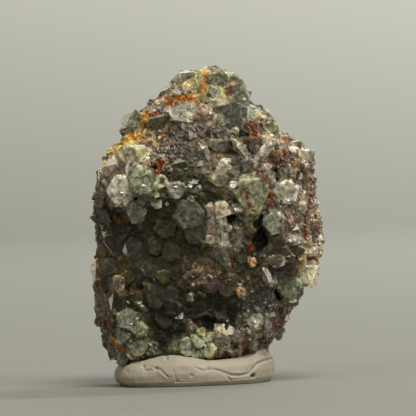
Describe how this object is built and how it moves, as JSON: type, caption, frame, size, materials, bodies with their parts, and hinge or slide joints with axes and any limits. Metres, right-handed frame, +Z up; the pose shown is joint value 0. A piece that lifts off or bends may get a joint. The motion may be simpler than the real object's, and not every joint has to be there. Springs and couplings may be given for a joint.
{
  "type": "phantom fluorite on quartz",
  "caption": "Upright mineral specimen: pale green, see-through fluorite crystals and quartz points on a rough matrix, held in a pressed putty foot.",
  "frame": {"origin": "middle of the object's footprint, on the surface it stands on", "axes": "+Z up along the specimen's height, +Y from the front face with the best crystals towards the back, +X to the right as seen from the front"},
  "size_m": [0.0498, 0.0376, 0.0671],
  "materials": {
    "fluorite": "clear to cloudy crystal with dark phantoms inside",
    "putty": "hand-pressed mounting putty"
  },
  "bodies": {
    "root": {"fluorite_on_quartz": "fluorite", "putty_foot": "putty"}
  },
  "joints": []
}
